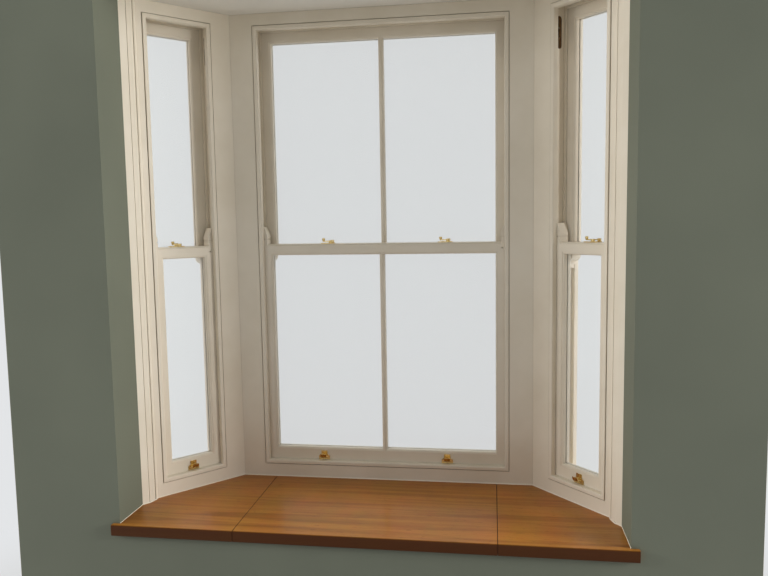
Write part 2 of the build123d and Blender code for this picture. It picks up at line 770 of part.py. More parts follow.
# Sash pulleys: a brass face plate let into the pulley stile, with cheeks, axle and wheel
with BuildPart() as sash_pulleys:
    for plane, opening, *_ in windows.values():
        for jamb in pulley_planes(plane, opening):
            cheek_middle = pulley_wheel / 2 + pulley_play + pulley_cheek / 2
            slot_length = 2 * pulley_radius
            with BuildSketch(jamb):
                SlotOverall(pulley_plate, pulley_width)
                Rectangle(slot_length, pulley_wheel + 2 * pulley_play, mode=Mode.SUBTRACT)
            extrude(amount=-pulley_plate_thickness)
            with BuildSketch(jamb.offset(-pulley_plate_thickness)):
                with Locations((0, cheek_middle), (0, -cheek_middle)):
                    Rectangle(1.5 * pulley_radius, pulley_cheek)
            extrude(amount=pulley_plate_thickness - 1.7 * pulley_radius)
            axle_place = jamb.from_local_coords((0, 0, pulley_reach - pulley_radius))
            hub = Plane(origin=axle_place, x_dir=jamb.x_dir, z_dir=jamb.y_dir)
            with BuildSketch(hub):
                Circle(pulley_radius)
            extrude(amount=pulley_wheel / 2, both=True)
            with BuildSketch(hub):
                RegularPolygon(pulley_axle, 8)
            extrude(amount=cheek_middle, both=True)
save(sash_pulleys, "sash_pulleys")


def fitting_places(bars, spacing, shift=0):
    """Two places on a sash of two lights, one in the middle of a sash of one light."""
    return (shift - spacing / 2, shift + spacing / 2) if bars else (shift,)


# The fasteners sit a little off the middle of their sashes, towards the reveals
fastener_shifts = {"left": -fastener_shift, "centre": fastener_shift, "right": fastener_shift}


# Sash lifts: a plate with a wide foot on the bottom rail and a hooked finger pull
with BuildPart() as sash_lifts:
    for plane, opening, _, _, bars in windows.values():
        for place in fitting_places(bars, lift_spacing):
            foot = lift_height - lift_plate_height / 2
            with BuildSketch(plane.offset(-lower_sash_face)):
                Polygon(
                    (place - lift_foot / 2, foot),
                    (place + lift_foot / 2, foot),
                    (place + lift_foot / 2, foot + lift_foot_height),
                    (place + lift_head / 2, foot + lift_foot_height + lift_shoulder),
                    (place + lift_head / 2, foot + lift_plate_height),
                    (place - lift_head / 2, foot + lift_plate_height),
                    (place - lift_head / 2, foot + lift_foot_height + lift_shoulder),
                    (place - lift_foot / 2, foot + lift_foot_height),
                    align=None,
                )
            extrude(amount=lift_plate)
            side_view = Plane(
                origin=plane.from_local_coords((place, lift_height, lift_plate - lower_sash_face)),
                x_dir=plane.z_dir,
                z_dir=-plane.x_dir,
            )
            with BuildSketch(side_view):
                with Locations((lift_hook_radius, 0)):
                    Circle(lift_hook_radius)
                    Circle(lift_hook_radius - lift_hook_thickness, mode=Mode.SUBTRACT)
                    above = (Align.CENTER, Align.MIN)
                    Rectangle(3 * lift_hook_radius, lift_hook_radius, align=above, mode=Mode.SUBTRACT)
                Rectangle(lift_hook_thickness, lift_hook_thickness, align=Align.MIN)
                lip_foot = 2 * lift_hook_radius - lift_hook_thickness
                Polygon(
                    (lip_foot, 0),
                    (lip_foot + lift_hook_thickness, 0),
                    (lip_foot + 2 * lift_hook_thickness, lift_lip),
                    (lip_foot + lift_hook_thickness, lift_lip),
                    align=None,
                )
            extrude(amount=lift_hook_width / 2, both=True)
save(sash_lifts, "sash_lifts")


def rail_seat(plane, place, depth):
    """Level plane on top of the meeting rails, with its x to the right and its y outwards."""
    origin = plane.from_local_coords((place, meeting_rail_top, -depth))
    return Plane(origin=origin, x_dir=plane.x_dir, z_dir=(0, 0, 1))


# Sash fasteners: a plate on the lower meeting rail with a pivot, an arm and a turned knob
with BuildPart() as sash_fasteners:
    for side, (plane, opening, _, _, bars) in windows.items():
        for place in fitting_places(bars, fastener_spacing, fastener_shifts[side]):
            seat = rail_seat(plane, place, lower_sash_back - fastener_setback)
            with BuildSketch(seat):
                SlotOverall(fastener_length, fastener_width)
            extrude(amount=fastener_plate)
            with BuildSketch(seat.offset(fastener_plate)):
                with Locations((pivot_place, 0)):
                    Circle(pivot_radius)
            extrude(amount=pivot_height)
            with BuildSketch(seat.offset(fastener_plate + arm_height)):
                Polygon(
                    (-knob_place, -pivot_radius / 2),
                    (pivot_place, -pivot_radius),
                    (pivot_place + pivot_radius, 0),
                    (pivot_place + 1.5 * pivot_radius, arm_nose),
                    (pivot_place, arm_nose),
                    (pivot_place - pivot_radius / 2, pivot_radius),
                    (-knob_place, pivot_radius / 2),
                    align=None,
                )
            extrude(amount=arm_thickness)
            spindle = seat.from_local_coords((-knob_place, 0, fastener_plate + arm_height))
            with BuildSketch(Plane(origin=spindle, x_dir=plane.x_dir, z_dir=-seat.y_dir)):
                Polygon(
                    (0, 0),
                    (knob_radius / 2, 0),
                    (knob_radius, 2 * knob_height / 3),
                    (knob_radius, knob_height - knob_radius / 3),
                    (knob_radius / 2, knob_height),
                    (0, knob_height),
                    align=None,
                )
            revolve(axis=Axis(spindle, (0, 0, 1)))
save(sash_fasteners, "sash_fasteners")

# Fastener keeps: the plates on the upper meeting rails, each with a lug behind the arm's nose
with BuildPart() as fastener_keeps:
    for side, (plane, opening, _, _, bars) in windows.items():
        for place in fitting_places(bars, fastener_spacing, fastener_shifts[side]):
            seat = rail_seat(plane, place, upper_sash_face + keep_setback)
            with BuildSketch(seat):
                Rectangle(keep_length, keep_width)
            extrude(amount=fastener_plate)
            with BuildSketch(seat.offset(fastener_plate)):
                with Locations((pivot_place, keep_width / 2)):
                    Rectangle(2 * pivot_radius, keep_lug, align=(Align.CENTER, Align.MAX))
            extrude(amount=keep_lug_height)
save(fastener_keeps, "fastener_keeps")
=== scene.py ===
import math
import random

import bmesh
import bpy
from mathutils import Matrix, Vector


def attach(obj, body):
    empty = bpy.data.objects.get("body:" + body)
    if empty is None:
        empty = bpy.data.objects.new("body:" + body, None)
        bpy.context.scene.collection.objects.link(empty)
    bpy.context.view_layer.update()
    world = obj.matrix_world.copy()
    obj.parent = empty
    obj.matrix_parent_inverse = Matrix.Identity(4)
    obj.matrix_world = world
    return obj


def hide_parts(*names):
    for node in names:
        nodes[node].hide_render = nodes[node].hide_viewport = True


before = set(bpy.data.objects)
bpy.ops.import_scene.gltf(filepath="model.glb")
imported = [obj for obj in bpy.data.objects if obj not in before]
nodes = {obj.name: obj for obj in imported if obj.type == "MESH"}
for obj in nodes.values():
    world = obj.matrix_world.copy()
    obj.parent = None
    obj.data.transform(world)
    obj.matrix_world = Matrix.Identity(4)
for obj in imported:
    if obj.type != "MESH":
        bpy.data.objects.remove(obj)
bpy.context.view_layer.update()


# House wall: blockwork and brick, 300 mm thick, with plaster in the room.
# The plaster is skimmed smooth and rolled with sage green emulsion, on the face and on both
# reveals. Outside, its face is the mortar bed that the facing bricks stand in.
wall_face = -0.3415
outside_face = -0.0415
wall_half_width = 1.198
wall_top = 2.9985
board_underside = 0.802
brick_length = 0.215
brick_height = 0.065
joint = 0.010
course = brick_height + joint
block_course = 0.225
# Where plaster, block and cavity end, as shares of the wall's thickness from the room, and
# the middle and half thickness of the block leaf in the same shares
plaster_end, block_end, cavity_end = 0.043, 0.377, 0.66
block_middle, block_reach = 0.215, 0.165
face_tolerance = 0.0005


def linear(hex_colour):
    """A colour of a chart, in sRGB hex, as linear red, green, blue and alpha."""
    channels = [int(hex_colour[i:i + 2], 16) / 255 for i in (1, 3, 5)]
    return [c / 12.92 if c <= 0.04045 else ((c + 0.055) / 1.055) ** 2.4 for c in channels] + [1.0]


def add_node(tree, kind, values=None, stops=None, **settings):
    """Adds a node to a material, with its settings, its values and what is linked to it."""
    node = tree.nodes.new("ShaderNode" + kind)
    for name, value in settings.items():
        setattr(node, name, value)
    for socket, value in (values or {}).items():
        if isinstance(value, bpy.types.NodeSocket):
            tree.links.new(value, node.inputs[socket])
        else:
            node.inputs[socket].default_value = value
    if stops:
        ramp = node.color_ramp.elements
        while len(ramp) < len(stops):
            ramp.new(1.0)
        for element, (position, colour) in zip(ramp, stops):
            element.position = position
            element.color = colour
    return node


def new_material(name):
    """A material with an empty node tree, and that tree."""
    material = bpy.data.materials.new(name)
    material.use_nodes = True
    material.node_tree.nodes.clear()
    return material, material.node_tree


def dress(material, *names):
    """Gives CAD nodes their finish."""
    for name in names:
        for material_slot in nodes[name].material_slots:
            material_slot.material = material


mortar_grey = linear("#a99f8e")
mortar_pale = linear("#c2b8a5")

# Emulsion on skimmed plaster: matt, with the fine stipple of a short-pile roller, 3 mm apart,
# and slow hollows of the trowel, 450 mm across. The sawn-off ends show plaster, block, cavity
# and brick, with their grit drawn at 1.4 mm, coarser than it is, so that it shows.
wall_paint, tree = new_material("sage_emulsion_on_plaster")
place = add_node(tree, "TexCoord").outputs["Object"]
axes = add_node(tree, "SeparateXYZ", {"Vector": place})
stipple = add_node(
    tree, "TexNoise", {"Vector": place, "Scale": 330.0, "Detail": 3.0, "Roughness": 0.6}
)
hollows = add_node(tree, "TexNoise", {"Vector": place, "Scale": 2.2, "Detail": 2.0})
# Painted shade, in part: this sage is darker than the pale sage of the real paint, for the room side of
# the wall in shade
paint_tone = add_node(
    tree, "ValToRGB", {"Fac": hollows.outputs["Fac"]},
    stops=[(0.3, linear("#666a5c")), (0.7, linear("#6d7162"))],
)
speckled = add_node(
    tree, "Mix", {"Factor": 0.05, "A": paint_tone.outputs["Color"], "B": stipple.outputs["Color"]},
    data_type="RGBA", blend_type="OVERLAY",
)
grit = add_node(tree, "TexNoise", {"Vector": place, "Scale": 700.0, "Detail": 4.0, "Roughness": 0.7})
mortar_tone = add_node(
    tree, "ValToRGB", {"Fac": grit.outputs["Fac"]}, stops=[(0.35, mortar_grey), (0.65, mortar_pale)]
)
outside = add_node(
    tree, "Math", {0: axes.outputs["Y"], 1: outside_face - face_tolerance}, operation="GREATER_THAN"
)
faced = add_node(
    tree, "Mix",
    {"Factor": outside.outputs[0], "A": speckled.outputs["Result"], "B": mortar_tone.outputs["Color"]},
    data_type="RGBA",
)
depth_in_wall = add_node(
    tree, "MapRange", {"Value": axes.outputs["Y"], "From Min": wall_face, "From Max": outside_face}
)
section_layers = add_node(
    tree, "ValToRGB", {"Fac": depth_in_wall.outputs["Result"]},
    stops=[
        (0.0, linear("#cdbfae")), (plaster_end, linear("#8f8e89")),
        (block_end, linear("#4a4742")), (cavity_end, linear("#9a5540")),
    ],
)
section_layers.color_ramp.interpolation = "CONSTANT"
in_brick = add_node(
    tree, "Math", {0: depth_in_wall.outputs["Result"], 1: cavity_end}, operation="GREATER_THAN"
)
in_block = add_node(
    tree, "Math", {0: depth_in_wall.outputs["Result"], 1: block_middle, 2: block_reach},
    operation="COMPARE",
)
above_bed = add_node(
    tree, "Math", {0: axes.outputs["Z"], 1: board_underside}, operation="SUBTRACT"
)
course_step = add_node(tree, "Mix", {"Factor": in_brick.outputs[0], "A": block_course, "B": course})
in_course = add_node(
    tree, "Math", {0: above_bed.outputs[0], 1: course_step.outputs["Result"]},
    operation="FLOORED_MODULO",
)
bed_joint = add_node(tree, "Math", {0: in_course.outputs[0], 1: joint}, operation="LESS_THAN")
masonry = add_node(
    tree, "Math", {0: in_brick.outputs[0], 1: in_block.outputs[0]}, operation="MAXIMUM"
)
jointed = add_node(
    tree, "Math", {0: bed_joint.outputs[0], 1: masonry.outputs[0]}, operation="MULTIPLY"
)
section = add_node(
    tree, "Mix",
    {"Factor": jointed.outputs[0], "A": section_layers.outputs["Color"],
     "B": mortar_tone.outputs["Color"]},
    data_type="RGBA",
)
crushed = add_node(
    tree, "Mix", {"Factor": 0.35, "A": section.outputs["Result"], "B": grit.outputs["Color"]},
    data_type="RGBA", blend_type="SOFT_LIGHT",
)
along_wall = add_node(tree, "Math", {0: axes.outputs["X"]}, operation="ABSOLUTE")
at_end = add_node(
    tree, "Math", {0: along_wall.outputs[0], 1: wall_half_width - face_tolerance},
    operation="GREATER_THAN",
)
at_top = add_node(
    tree, "Math", {0: axes.outputs["Z"], 1: wall_top - face_tolerance}, operation="GREATER_THAN"
)
sawn = add_node(tree, "Math", {0: at_end.outputs[0], 1: at_top.outputs[0]}, operation="MAXIMUM")
finished = add_node(
    tree, "Mix",
    {"Factor": sawn.outputs[0], "A": faced.outputs["Result"], "B": crushed.outputs["Result"]},
    data_type="RGBA",
)
rough_faces = add_node(
    tree, "Math", {0: outside.outputs[0], 1: sawn.outputs[0]}, operation="MAXIMUM"
)
relief = add_node(
    tree, "Mix",
    {"Factor": rough_faces.outputs[0], "A": stipple.outputs["Fac"], "B": grit.outputs["Fac"]},
)
trowelled = add_node(
    tree, "Bump", {"Height": hollows.outputs["Fac"], "Strength": 0.05, "Distance": 0.004}
)
rolled = add_node(
    tree, "Bump",
    {"Height": relief.outputs["Result"], "Strength": 0.35, "Distance": 0.0006,
     "Normal": trowelled.outputs["Normal"]},
)
shader = add_node(
    tree, "BsdfPrincipled",
    {"Base Color": finished.outputs["Result"], "Roughness": 0.72,
     "Normal": rolled.outputs["Normal"]},
)
add_node(tree, "OutputMaterial", {"Surface": shader.outputs["BSDF"]})
dress(wall_paint, "pier_left", "pier_right", "wall_head", "apron_wall")


# Facing bricks: 215 x 102 x 65 mm, laid in stretcher bond with 10 mm joints.
# They stand 2 mm proud of the mortar, and are cut to the bay where the wall meets it. The
# lowest course of the dwarf wall is part buried.
brick_proud = 0.002
brick_bed = 0.008
brick_wear = 0.0018
smallest_cut = 0.012
half_bond = (brick_length + joint) / 2
turn = math.radians(48.5573)
half_centre = 0.559
window_line = 0.1525
dwarf_reach = 0.170
eaves_reach = 0.206
roof_line = 2.7754
roof_rise = 0.1211
hip_x = 0.4715
# Height up to which each part of the bay meets the house wall, and how far it stands out from
# the room face of its linings: dwarf wall, cills, frames, fascia, cornice and eaves
bay_profile = [
    (board_underside, dwarf_reach), (0.876, 0.207), (2.576, 0.132), (2.684, 0.154),
    (2.726, 0.184), (2.775, eaves_reach),
]
chance = random.Random(7)


def side_x(reach, y):
    """Half width of the bay at depth y, that far out from the room face of its linings."""
    return half_centre + reach * math.tan(turn / 2) + (window_line + reach - y) / math.tan(turn)


def bay_edge(height):
    """Half width of what the bay hides of the house wall at a height."""
    for top, reach in bay_profile:
        if height < top:
            return side_x(reach, outside_face)
    up_roof = (height - roof_line) / roof_rise
    if up_roof > 1:
        return 0.0
    return side_x(eaves_reach, outside_face) * (1 - up_roof) + hip_x * up_roof


def lay_course(bricks, tone, start, angle, length, stagger, foot, top):
    """One course of bricks along a face of the wall, with the end bricks cut to fit."""
    turned = Matrix.Rotation(angle, 4, "Z")
    along = turned @ Vector((1, 0, 0))
    outward = turned @ Vector((0, 1, 0))
    step = brick_length + joint
    left = -(stagger % step)
    while left < length:
        near, far = max(left, 0.0), min(left + brick_length, length)
        if far - near > smallest_cut:
            middle = start + along * (near + far) / 2 + outward * (brick_proud - brick_bed) / 2
            middle.z = (foot + top) / 2
            size = Matrix.Diagonal((far - near, brick_bed + brick_proud, top - foot, 1))
            laid = Matrix.Translation(middle) @ turned @ size
            brick = bmesh.ops.create_cube(bricks, size=1, matrix=laid)
            shade = chance.random()
            for face in {face for vert in brick["verts"] for face in vert.link_faces}:
                face[tone] = shade
        left += step


def finish_piece(mesh, name, material, smooth=False):
    """Makes a piece of a bmesh, gives it its finish and fixes it to the building."""
    data = bpy.data.meshes.new(name)
    mesh.to_mesh(data)
    mesh.free()
    data.materials.append(material)
    data.polygons.foreach_set("use_smooth", [smooth] * len(data.polygons))
    piece = bpy.data.objects.new(name, data)
    bpy.context.scene.collection.objects.link(piece)
    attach(piece, "root")
    return piece


# Wire-cut facing brick: sanded, red to red-brown, each brick a little different, with clouds
# of firing 40 mm across. It is dry and rough. Its sand is drawn at 2 mm, coarser than it is.
brick_finish, tree = new_material("sanded_facing_brick")
place = add_node(tree, "TexCoord").outputs["Object"]
shade = add_node(tree, "Attribute", attribute_name="brick_tone")
burnt = add_node(tree, "TexNoise", {"Vector": place, "Scale": 26.0, "Detail": 4.0, "Roughness": 0.65})
sand = add_node(tree, "TexNoise", {"Vector": place, "Scale": 480.0, "Detail": 4.0, "Roughness": 0.7})
brick_tone = add_node(
    tree, "ValToRGB", {"Fac": shade.outputs["Fac"]},
    stops=[
        (0.0, linear("#7d4131")), (0.35, linear("#94503a")), (0.7, linear("#a45c42")),
        (1.0, linear("#8a4a3c")),
    ],
)
cloud = add_node(
    tree, "ValToRGB", {"Fac": burnt.outputs["Fac"]},
    stops=[(0.35, linear("#5f332a")), (0.62, linear("#b5765a"))],
)
clouded = add_node(
    tree, "Mix", {"Factor": 0.4, "A": brick_tone.outputs["Color"], "B": cloud.outputs["Color"]},
    data_type="RGBA",
)
sanded = add_node(
    tree, "Mix", {"Factor": 0.35, "A": clouded.outputs["Result"], "B": sand.outputs["Color"]},
    data_type="RGBA", blend_type="SOFT_LIGHT",
)
gritty = add_node(tree, "Bump", {"Height": sand.outputs["Fac"], "Strength": 0.6, "Distance": 0.0012})
shader = add_node(
    tree, "BsdfPrincipled",
    {"Base Color": sanded.outputs["Result"], "Roughness": 0.9, "Normal": gritty.outputs["Normal"]},
)
add_node(tree, "OutputMaterial", {"Surface": shader.outputs["BSDF"]})


def finish_bricks(bricks, name):
    """Wears the arrises of laid bricks, and makes them a piece of the building."""
    bmesh.ops.bevel(
        bricks, geom=bricks.edges[:], offset=brick_wear, segments=1, profile=0.5, affect="EDGES",
        material=-1,
    )
    finish_piece(bricks, name, brick_finish)


house_bricks = bmesh.new()
tone = house_bricks.faces.layers.float.new("brick_tone")
courses_below = math.ceil(board_underside / course)
courses_above = math.ceil((wall_top - board_underside) / course)
for number in range(-courses_below, courses_above):
    top = board_underside + number * course + brick_height
    foot = max(top - brick_height, 0.0)
    top = min(top, wall_top)
    if top - foot < smallest_cut:
        continue
    edge = max(bay_edge(foot), bay_edge(top))
    stagger = 0.0 if number % 2 else half_bond
    if edge:
        for start_x in (-wall_half_width, edge):
            origin = Vector((start_x, outside_face, 0))
            bond = start_x + wall_half_width + stagger
            lay_course(house_bricks, tone, origin, 0.0, wall_half_width - edge, bond, foot, top)
    else:
        origin = Vector((-wall_half_width, outside_face, 0))
        lay_course(house_bricks, tone, origin, 0.0, 2 * wall_half_width, stagger, foot, top)
finish_bricks(house_bricks, "house_wall_bricks")

corner_x = half_centre + dwarf_reach * math.tan(turn / 2)
corner_y = window_line + dwarf_reach
foot_x = side_x(dwarf_reach, outside_face)
side_face = math.hypot(foot_x - corner_x, corner_y - outside_face)
dwarf_bricks = bmesh.new()
tone = dwarf_bricks.faces.layers.float.new("brick_tone")
for number in range(courses_below):
    top = board_underside - number * course
    foot = max(top - brick_height, 0.0)
    stagger = 0.0 if number % 2 else half_bond
    at_wall = Vector((-foot_x, outside_face, 0))
    at_corner = Vector((-corner_x, corner_y, 0))
    beyond = Vector((corner_x, corner_y, 0))
    lay_course(dwarf_bricks, tone, at_wall, turn, side_face, stagger - side_face, foot, top)
    lay_course(dwarf_bricks, tone, at_corner, 0.0, 2 * corner_x, stagger, foot, top)
    lay_course(dwarf_bricks, tone, beyond, -turn, side_face, -stagger, foot, top)
finish_bricks(dwarf_bricks, "dwarf_wall_bricks")

# Sand and lime mortar: pale buff, struck flush and weathered back to its sand, which is drawn
# at 1.4 mm, coarser than it is.
mortar, tree = new_material("sand_lime_mortar")
place = add_node(tree, "TexCoord").outputs["Object"]
grit = add_node(tree, "TexNoise", {"Vector": place, "Scale": 700.0, "Detail": 4.0, "Roughness": 0.7})
mortar_tone = add_node(
    tree, "ValToRGB", {"Fac": grit.outputs["Fac"]}, stops=[(0.35, mortar_grey), (0.65, mortar_pale)]
)
gritty = add_node(tree, "Bump", {"Height": grit.outputs["Fac"], "Strength": 0.5, "Distance": 0.001})
shader = add_node(
    tree, "BsdfPrincipled",
    {"Base Color": mortar_tone.outputs["Color"], "Roughness": 0.92,
     "Normal": gritty.outputs["Normal"]},
)
add_node(tree, "OutputMaterial", {"Surface": shader.outputs["BSDF"]})
dress(mortar, "dwarf_wall")


# Window board: three lengths of solid timber, 38 mm thick, butted with open hairline joints.
# It is stained honey brown and varnished, and its grain runs along the window. The nosing in
# front is drawn darker than the top, partly the stain taken darker and partly painted shade.
board_nose_y = -0.3595
# How far behind the nose its darker stain and painted shade start, and where they are full
nosing_shade_start, nosing_shade_full = 0.005, 0.001
board_joint_x = 0.4260
joint_stain_reach = 0.0014
# Dark stain: the colour of the butt joints, and of the painted shade on the nosing
dark_stain_and_shade = linear("#371706")
merge_distance = 1e-5
flat_angle = math.radians(0.5)
arris_angle = math.radians(35)


def ease(name, material, arris):
    """A copy of a piece with its arrises eased, as sanding and coats of finish leave them."""
    timber = bmesh.new()
    timber.from_mesh(nodes[name].data)
    bmesh.ops.remove_doubles(timber, verts=timber.verts, dist=merge_distance)
    bmesh.ops.dissolve_limit(
        timber, angle_limit=flat_angle, verts=timber.verts, edges=timber.edges
    )
    arrises = [edge for edge in timber.edges if edge.calc_face_angle(0) > arris_angle]
    bmesh.ops.bevel(
        timber, geom=arrises, offset=arris, segments=2, profile=0.5, affect="EDGES", material=-1,
        clamp_overlap=True,
    )
    piece = finish_piece(timber, name + "_finished", material, smooth=True)
    normals = piece.modifiers.new("flat faces stay flat", "WEIGHTED_NORMAL")
    normals.weight = 100
    normals.keep_sharp = True
    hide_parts(name)


# Stained softwood under satin varnish: honey brown, with growth rings drawn out along X every
# 15 to 40 mm, a cloudy figure 110 to 170 mm across and short dark flecks about 25 mm long. The
# fibres are drawn 2.4 mm apart, coarser than they are. Stain has gathered in the butt joints.
board_finish, tree = new_material("honey_stained_varnished_timber")
place = add_node(tree, "TexCoord").outputs["Object"]
axes = add_node(tree, "SeparateXYZ", {"Vector": place})
drawn_out = add_node(tree, "Mapping", {"Vector": place, "Scale": (1.1, 26.0, 26.0)})
rings = add_node(
    tree, "TexNoise",
    {"Vector": drawn_out.outputs["Vector"], "Scale": 1.0, "Detail": 5.0, "Roughness": 0.55,
     "Distortion": 0.6},
)
ring_tone = add_node(
    tree, "ValToRGB", {"Fac": rings.outputs["Fac"]},
    stops=[
        (0.22, linear("#7e4c1a")), (0.42, linear("#965e22")), (0.55, linear("#a86d2a")),
        (0.66, linear("#9d6526")), (0.82, linear("#85521c")),
    ],
)
fine = add_node(tree, "Mapping", {"Vector": place, "Scale": (9.0, 420.0, 420.0)})
fibres = add_node(
    tree, "TexNoise", {"Vector": fine.outputs["Vector"], "Scale": 1.0, "Detail": 3.0, "Roughness": 0.7}
)
fibred = add_node(
    tree, "Mix", {"Factor": 0.3, "A": ring_tone.outputs["Color"], "B": fibres.outputs["Color"]},
    data_type="RGBA", blend_type="SOFT_LIGHT",
)
clouds = add_node(tree, "Mapping", {"Vector": place, "Scale": (9.0, 6.0, 6.0)})
figure = add_node(
    tree, "TexNoise",
    {"Vector": clouds.outputs["Vector"], "Scale": 1.0, "Detail": 3.0, "Roughness": 0.55},
)
figured = add_node(
    tree, "Mix", {"Factor": 0.28, "A": fibred.outputs["Result"], "B": figure.outputs["Color"]},
    data_type="RGBA", blend_type="SOFT_LIGHT",
)
short = add_node(tree, "Mapping", {"Vector": place, "Scale": (38.0, 260.0, 260.0)})
flecks = add_node(
    tree, "TexNoise", {"Vector": short.outputs["Vector"], "Scale": 1.0, "Detail": 1.0, "Roughness": 0.5}
)
fleck_mask = add_node(
    tree, "MapRange",
    {"Value": flecks.outputs["Fac"], "From Min": 0.66, "From Max": 0.76, "To Max": 0.55},
)
flecked = add_node(
    tree, "Mix",
    {"Factor": fleck_mask.outputs["Result"], "A": figured.outputs["Result"], "B": linear("#5a2c10")},
    data_type="RGBA",
)
# Painted shade, in part: the front of the nosing is darkened towards the dark stain
nosing_shade = add_node(
    tree, "MapRange",
    {"Value": axes.outputs["Y"], "From Min": board_nose_y + nosing_shade_start,
     "From Max": board_nose_y + nosing_shade_full, "To Max": 0.95},
)
nosing_shaded = add_node(
    tree, "Mix",
    {"Factor": nosing_shade.outputs["Result"], "A": flecked.outputs["Result"], "B": dark_stain_and_shade},
    data_type="RGBA",
)
across = add_node(tree, "Math", {0: axes.outputs["X"]}, operation="ABSOLUTE")
at_joint = add_node(
    tree, "Math", {0: across.outputs[0], 1: board_joint_x, 2: joint_stain_reach},
    operation="COMPARE",
)
joint_stain = add_node(tree, "Math", {0: at_joint.outputs[0], 1: 0.8}, operation="MULTIPLY")
gathered = add_node(
    tree, "Mix",
    {"Factor": joint_stain.outputs[0], "A": nosing_shaded.outputs["Result"], "B": dark_stain_and_shade},
    data_type="RGBA",
)
raised_grain = add_node(
    tree, "Bump", {"Height": fibres.outputs["Fac"], "Strength": 0.12, "Distance": 0.0004}
)
shader = add_node(
    tree, "BsdfPrincipled",
    {"Base Color": gathered.outputs["Result"], "Roughness": 0.44, "Specular IOR Level": 0.3,
     "Specular Tint": linear("#d89a5c"), "Coat Weight": 0.2, "Coat Roughness": 0.16,
     "Normal": raised_grain.outputs["Normal"]},
)
add_node(tree, "OutputMaterial", {"Surface": shader.outputs["BSDF"]})
for side in ("left", "centre", "right"):
    ease("window_board_" + side, board_finish, arris=0.0014)


# Joinery: cills, box frames with wide linings, corner posts, beads, sashes and architraves.
# All softwood, primed and brushed with off-white satin paint. Every arris is sanded round so
# that the paint holds, which draws the fine lines round the beads and the mouldings.

# Satin paint, brushed: off-white, with a tone that drifts over 200 mm. The marks of the bristles
# are drawn 2.4 mm apart, coarser than they are.
joinery_paint, tree = new_material("off_white_satin_paint_on_softwood")
place = add_node(tree, "TexCoord").outputs["Object"]
upright = add_node(tree, "Mapping", {"Vector": place, "Scale": (420.0, 420.0, 9.0)})
brushed = add_node(
    tree, "TexNoise",
    {"Vector": upright.outputs["Vector"], "Scale": 1.0, "Detail": 2.0, "Roughness": 0.6},
)
cloudy = add_node(tree, "TexNoise", {"Vector": place, "Scale": 5.0, "Detail": 3.0, "Roughness": 0.6})
paint_tone = add_node(
    tree, "ValToRGB", {"Fac": cloudy.outputs["Fac"]},
    stops=[(0.3, linear("#e3d8c4")), (0.7, linear("#ebe1cf"))],
)
# Painted shade: the paint is darkened in the quirks and along the beads, in the 5 mm next to each inner
# corner, where shade falls
in_corner = add_node(tree, "AmbientOcclusion", {"Distance": 0.005}, samples=8)
painted_crevice_shade = add_node(
    tree, "MapRange",
    {"Value": in_corner.outputs["AO"], "From Min": 0.62, "From Max": 0.15, "To Max": 0.7},
)
crevice_shaded = add_node(
    tree, "Mix",
    {"Factor": painted_crevice_shade.outputs["Result"], "A": paint_tone.outputs["Color"], "B": linear("#85775f")},
    data_type="RGBA",
)
brush_marks = add_node(
    tree, "Bump", {"Height": brushed.outputs["Fac"], "Strength": 0.12, "Distance": 0.0003}
)
shader = add_node(
    tree, "BsdfPrincipled",
    {"Base Color": crevice_shaded.outputs["Result"], "Roughness": 0.33,
     "Normal": brush_marks.outputs["Normal"]},
)
add_node(tree, "OutputMaterial", {"Surface": shader.outputs["BSDF"]})
for side in ("left", "centre", "right"):
    for part in ("staff_bead_", "lower_sash_", "upper_sash_", "parting_bead_"):
        ease(part + side, joinery_paint, arris=0.0005)
    for part in ("box_frame_", "cill_"):
        ease(part + side, joinery_paint, arris=0.0006)
for side in ("left", "right"):
    ease("corner_post_" + side, joinery_paint, arris=0.0006)
    ease("architrave_" + side, joinery_paint, arris=0.0006)
ease("fascia", joinery_paint, arris=0.001)
ease("cornice", joinery_paint, arris=0.0006)
dress(joinery_paint, "roof_timbers")


# Filler bead: decorator's acrylic, tooled with a wet finger into the corner that the window
# board makes with the linings and the architraves, and painted in with the joinery. It is 3 mm
# wide, and half of that along the plaster of the reveals.
board_top = 0.840
half_opening = 0.823
reveal_end_y = -0.1465
filler_size = 0.003
sunk = 0.0002
# Foot of an architrave: along the side lining from the reveal, and out from the lining
architrave_foot = [(-0.0272, 0.024), (-0.001, 0.024), (0.013, 0.018), (0.028, 0.011), (0.039, 0.0)]
taper = 0.004
right_half = [(half_centre, window_line, filler_size)]
for along, out in reversed(architrave_foot):
    x = half_opening - along * math.cos(turn) - out * math.sin(turn)
    y = reveal_end_y + along * math.sin(turn) - out * math.cos(turn)
    right_half.append((x, y, filler_size))
right_half += [(x, y - taper, filler_size / 2), (half_opening, wall_face, filler_size / 2)]
left_half = [(-x, y, size) for x, y, size in reversed(right_half)]
line = [(Vector((x, y)), size) for x, y, size in left_half + right_half]
filler = bmesh.new()
foot = board_top - sunk
stations = []
for number, (corner, size) in enumerate(line):
    before = corner - line[number - 1][0] if number else line[1][0] - corner
    after = line[number + 1][0] - corner if number + 1 < len(line) else before
    before, after = (Vector((way.y, -way.x)).normalized() for way in (before, after))
    inner = corner + (before + after) / (1 + before.dot(after)) * size
    stations.append([(*corner, foot), (*inner, foot), (*corner, foot + size)])
first = [filler.verts.new(point) for point in stations[0]]
end = filler.faces.new(first)
for station in stations[1:]:
    keep_first = end.verts[0] in first
    run = bmesh.ops.extrude_face_region(filler, geom=[end], use_keep_orig=keep_first)["geom"]
    end = next(part for part in run if isinstance(part, bmesh.types.BMFace))
    for vert, point in zip(end.verts, station):
        vert.co = point
bmesh.ops.recalc_face_normals(filler, faces=filler.faces)
finish_piece(filler, "filler_bead", joinery_paint)


